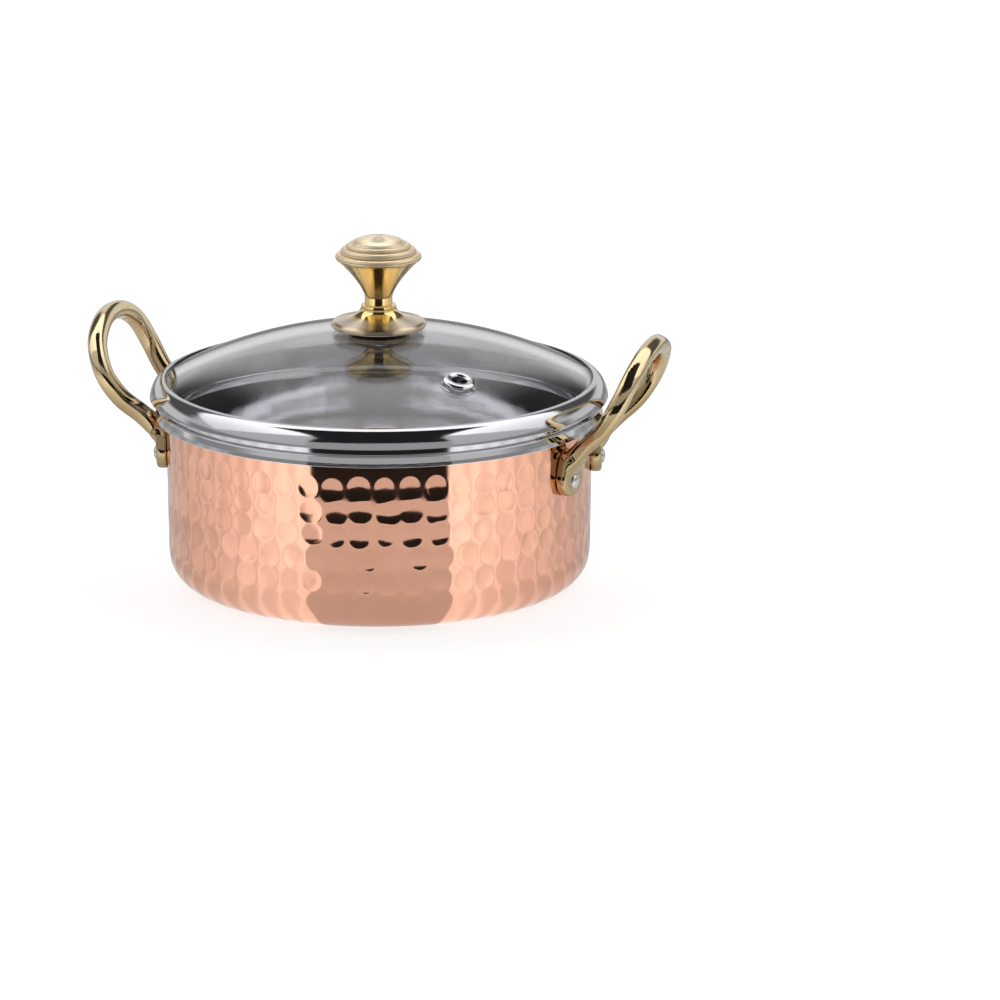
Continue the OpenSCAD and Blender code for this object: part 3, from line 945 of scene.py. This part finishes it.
def make_knob():
    head_low, head_h = HEAD_Z - HEAD_DROP, HEAD_H + HEAD_DROP
    rings = [(HEAD_R * a, head_low + head_h * b, head_h * c) for a, b, c in HEAD_RINGS]
    cap_x, cap_low, cap_high = HEAD_R * CAP_WIDE, head_low + head_h * CAP_LOW, head_h * (1 - CAP_LOW)
    flare_low = NECK_TOP - FLARE_DROP
    outline = [(0, BASE_TOP), (NECK_R, BASE_TOP), (NECK_R, flare_low - 2.5), (NECK_R, flare_low)]
    for i in range(1, 61):
        s = i / 60
        r = NECK_R + (HEAD_R * FLARE_WIDE - NECK_R) * s**FLARE_POWER
        point = (r, flare_low + (head_low - flare_low) * s)
        if math.dist(point, rings[0][:2]) > rings[0][2]:
            outline.append(point)
    start = -88
    for ring, above in zip(rings, rings[1:]):
        end, next_start = ring_turns(ring, above)
        outline += arc(*ring[:2], ring[2], ring[2], start, end, 16)
        start = next_start
    # The last ring and the cap meet where each comes out of the other
    x, z, r = rings[-1]
    last = arc(x, z, r, r, start, 90, 20)
    outline += [p for p in last if (p[0] / cap_x) ** 2 + ((p[1] - cap_low) / cap_high) ** 2 > 1]
    outline += [p for p in arc(0, cap_low, cap_x, cap_high, 0, 90, 60) if math.dist(p, (x, z)) > r]
    verts, faces = lathe(outline, KNOB_SEGS)
    obj = new_object("knob_head", verts, faces, "lid", ["knob"], 30)
    paint(obj, knob_brass)


def make_base():
    base_h = BASE_TOP - BASE_LOW
    edge = [(BASE_R * a, BASE_LOW + base_h * b) for a, b in BASE_EDGE]
    outline = [(0, BASE_LOW), (BASE_R * 0.9, BASE_LOW)] + rounded(edge, EDGE_ROUNDS)
    shoulder_r, shoulder_z = edge[-1]
    for i in range(1, 41):
        s = i / 40
        r = SHOULDER_R + (shoulder_r - SHOULDER_R) * (1 - s) ** BASE_POWER
        outline.append((r, shoulder_z + (BASE_TOP - shoulder_z) * s))
    outline.append((0, BASE_TOP))
    verts, faces = lathe(outline, KNOB_SEGS)
    obj = new_object("knob_foot", verts, faces, "lid", ["knob_base"], 40)
    paint(obj, base_brass)


make_knob()
make_base()

for name, mat in (
    ("knob_screw", rivet_steel),
    ("knob_washer", base_brass),
    ("upper_seal", seal_rubber),
    ("lower_seal", seal_rubber),
):
    paint(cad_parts[name], mat)


# Camera

back = Vector((
    math.sin(CAMERA_TURN) * math.cos(CAMERA_RISE),
    -math.cos(CAMERA_TURN) * math.cos(CAMERA_RISE),
    math.sin(CAMERA_RISE),
))
right = Vector((math.cos(CAMERA_TURN), math.sin(CAMERA_TURN), 0))
up = back.cross(right)
target = Vector((0, 0, TARGET_Z))
aim = target + right * AIM_RIGHT - up * AIM_DOWN
camera_data = bpy.data.cameras.new("camera")
camera_data.lens = LENS
camera_data.sensor_width = SENSOR
camera_data.clip_start = 0.1
camera_data.clip_end = 100
camera = bpy.data.objects.new("camera", camera_data)
bpy.context.scene.collection.objects.link(camera)
camera.location = target + back * CAMERA_FAR
camera.rotation_euler = (camera.location - aim).to_track_quat("Z", "Y").to_euler()
bpy.context.scene.camera = camera


# Studio: a light tent that shows only in mirrors, and plain white and a plain floor to the camera

LIGHT = 2.0
MIRROR_LIGHT = LIGHT * 1.15
# Light round the horizon, far off and near the pan, by the turn from the camera's side, 0, to the back, 1
FAR_SIDES = [
    (0.0, 0.01), (0.2, 0.01), (0.208, 0.66), (0.31, 0.6),
    (0.45, 0.45), (0.63, 0.335), (0.8, 0.26), (1.0, 0.24),
]
NEAR_SIDES = [
    (0.0, 0.36), (0.198, 0.36), (0.204, 0.66), (0.31, 0.61),
    (0.45, 0.475), (0.63, 0.355), (0.8, 0.29), (1.0, 0.29),
]
# Light in the black slot by the turn over the top, from the camera's horizon, 0, to the far one, 1
SLOT = [
    (0.0, 0.01), (0.024, 0.01), (0.032, 0.22), (0.145, 0.22),
    (0.155, 0.01), (0.555, 0.01), (0.575, 0.8), (1.0, 0.8),
]
# The slot's half width as a share of the sky's width at its height, its least half width, and its far end
SLOT_WIDE = 0.6
SLOT_LEAST = 0.46
SLOT_END = 0.58
SLOT_SIDES_SOFT = (-0.01, 0.015)
SLOT_END_SOFT = (0.0, 0.02)
# What lies behind the pan by the same turn, with dark corners, and where it starts
BEHIND = [(0.5, 0.36), (0.86, 0.38)]
BEHIND_SOFT = (-0.25, -0.45)
CORNER = (0.05, 0.05, 0.05)
CORNER_SOFT = (0.2, 0.32)
# The grey below the arch by height, and the arch itself by the distance across
BELOW = [(0.0, 0.14), (0.12, 0.15), (0.16, 0.3), (1.0, 0.34)]
ARCH = [(0.0, 0.85), (0.55, 0.8), (1.0, 0.5)]
# The arch's lower edge: its height at the sides, and its rise towards the camera and away from it
ARCH_LOW = 0.2
ARCH_AHEAD = 1.03
ARCH_BACK = 0.78
ARCH_SOFT = (-0.03, 0.05)
# The pan's own shade on the mirrored floor by the distance from its middle, in metres
SHADE = [(0.09, 0.76), (0.18, 0.9), (0.27, 0.95), (0.38, 0.8), (0.55, 0.64), (0.9, 0.5)]
# How far the near light reaches on the floor, and how far ahead of its middle the pan sees the turns from
NEAR_REACH = 0.2395
SEEN_FROM = 0.036
# Seams of the tent: from one to the next as a share of the turn, how strong they are, and where they start
SEAM_TURN = 0.055
SEAM_SHARE = 0.12
SEAMS_SOFT = (0.21, 0.25)
# The floor's half width and level, in millimetres, and how much light it adds for the camera
FLOOR_HALF = 12000.0
FLOOR_Z = -0.1
FLOOR_GLOW = 0.74


def ahead_and_across(tree, x, y):
    """How far a place lies towards the camera, and how far to its right."""
    sine, cosine = math.sin(CAMERA_TURN), math.cos(CAMERA_TURN)
    ahead = plus(tree, times(tree, x, sine), times(tree, y, -cosine))
    return ahead, plus(tree, times(tree, x, cosine), times(tree, y, sine))


def seen_rays(tree):
    """Two shares: 1 for rays from the camera, also through glass, and 1 for rays that a surface mirrored."""
    light = node(tree, "LightPath").outputs
    through = light["Is Transmission Ray"]
    clear = math_node(tree, "LESS_THAN", light["Glossy Depth"], 0.5)
    return (
        math_node(tree, "MAXIMUM", light["Is Camera Ray"], times(tree, through, clear)),
        math_node(tree, "MAXIMUM", light["Is Glossy Ray"], times(tree, through, minus(tree, 1.0, clear))),
    )


def tent_light(tree, high, ahead, lateral, over):
    """A bright arch from side to side, and grey below it, with dark corners behind."""
    corners = times(
        tree, smooth_step(tree, lateral, *CORNER_SOFT), smooth_step(tree, high, *CORNER_SOFT)
    )
    behind = mix_colour(tree, corners, ramp(tree, over, BEHIND), CORNER)
    low = mix_colour(tree, smooth_step(tree, ahead, *BEHIND_SOFT), ramp(tree, high, BELOW), behind)
    lean = math_node(tree, "MAXIMUM", times(tree, ahead, ARCH_AHEAD), times(tree, ahead, -ARCH_BACK))
    arch = smooth_step(tree, minus(tree, high, plus(tree, lean, ARCH_LOW)), *ARCH_SOFT)
    return mix_colour(tree, arch, low, ramp(tree, lateral, ARCH))


def slot_share(tree, high, lateral, over):
    """1 inside the slot: a strip that narrows with height, and ends just past the top."""
    flat = math_node(tree, "SQRT", minus(tree, 1.0, times(tree, high, high)))
    edge = math_node(tree, "MAXIMUM", times(tree, flat, SLOT_WIDE), SLOT_LEAST)
    inside = smooth_step(tree, minus(tree, edge, lateral), *SLOT_SIDES_SOFT)
    return times(tree, inside, smooth_step(tree, minus(tree, SLOT_END, over), *SLOT_END_SOFT))


def make_world():
    world = bpy.data.worlds.new("studio")
    bpy.context.scene.world = world
    world.use_nodes = True
    tree = world.node_tree
    tree.nodes.clear()
    place = node(tree, "TexCoord").outputs["Generated"]
    parts = node(tree, "SeparateXYZ", {"Vector": place}).outputs
    high = parts["Z"]
    ahead, across = ahead_and_across(tree, parts["X"], parts["Y"])
    lateral = math_node(tree, "ABSOLUTE", across)
    over = math_node(tree, "DIVIDE", math_node(tree, "ARCTAN2", high, ahead), math.pi)
    tent = tent_light(tree, high, ahead, lateral, over)
    glow = mix_colour(tree, slot_share(tree, high, lateral, over), tent, ramp(tree, over, SLOT))
    seen, _ = seen_rays(tree)
    shade = node(tree, "Background", {"Color": glow, "Strength": LIGHT})
    white = node(tree, "Background", {"Color": (1, 1, 1, 1), "Strength": 1.0})
    mixed = node(tree, "MixShader", {0: seen, 1: shade.outputs[0], 2: white.outputs[0]})
    out = node(tree, "OutputWorld")
    tree.links.new(mixed.outputs[0], out.inputs["Surface"])


def floor_pattern(tree):
    """What the pan's wall mirrors below the horizon."""
    place = node(tree, "NewGeometry").outputs["Position"]
    parts = node(tree, "SeparateXYZ", {"Vector": place}).outputs
    ahead, across = ahead_and_across(tree, parts["X"], parts["Y"])
    near_ahead = minus(tree, ahead, SEEN_FROM)
    turn = math_node(tree, "ARCTAN2", math_node(tree, "ABSOLUTE", across), near_ahead)
    turn = math_node(tree, "DIVIDE", turn, math.pi)
    reach = node(tree, "VectorMath", {0: place}, operation="LENGTH").outputs["Value"]
    edge = math_node(tree, "GREATER_THAN", reach, NEAR_REACH)
    pattern = mix_colour(tree, edge, ramp(tree, turn, NEAR_SIDES), ramp(tree, turn, FAR_SIDES))
    pattern = mix_colour(tree, 1.0, pattern, ramp(tree, reach, SHADE), "MULTIPLY")
    # The tent's seams show as soft stripes in the marks at the sides
    wave = math_node(tree, "SINE", times(tree, turn, 2 * math.pi / SEAM_TURN))
    beside = smooth_step(tree, turn, *SEAMS_SOFT)
    seams = math_node(tree, "MULTIPLY_ADD", times(tree, wave, beside), SEAM_SHARE, 1.0)
    seams = node(tree, "CombineXYZ", {0: seams, 1: seams, 2: seams}).outputs[0]
    return mix_colour(tree, 1.0, pattern, seams, "MULTIPLY")


def make_floor():
    half = FLOOR_HALF
    mesh = bpy.data.meshes.new("floor")
    corners = ((-half, -half), (half, -half), (half, half), (-half, half))
    mesh.from_pydata([Vector((x, y, FLOOR_Z)) * MM for x, y in corners], [], [(0, 1, 2, 3)])
    floor = bpy.data.objects.new("floor", mesh)
    bpy.context.scene.collection.objects.link(floor)
    mat, tree, shader = material("floor_paint")
    shader.inputs["Base Color"].default_value = (0.5, 0.5, 0.5, 1)
    shader.inputs["Roughness"].default_value = 0.9
    shader.inputs["Specular IOR Level"].default_value = 0.0
    seen, mirrored = seen_rays(tree)
    lift = node(tree, "Emission", {"Color": (1, 1, 1, 1)})
    tree.links.new(times(tree, seen, FLOOR_GLOW), lift.inputs["Strength"])
    plain = node(tree, "AddShader", {0: shader.outputs[0], 1: lift.outputs[0]})
    mirror = node(tree, "Emission", {"Color": floor_pattern(tree), "Strength": MIRROR_LIGHT})
    both = node(tree, "MixShader", {0: mirrored, 1: plain.outputs[0], 2: mirror.outputs[0]})
    out = [n for n in tree.nodes if n.type == "OUTPUT_MATERIAL"][0]
    tree.links.new(both.outputs[0], out.inputs["Surface"])
    floor.data.materials.append(mat)


make_world()
make_floor()

bpy.context.scene.view_settings.view_transform = "Standard"
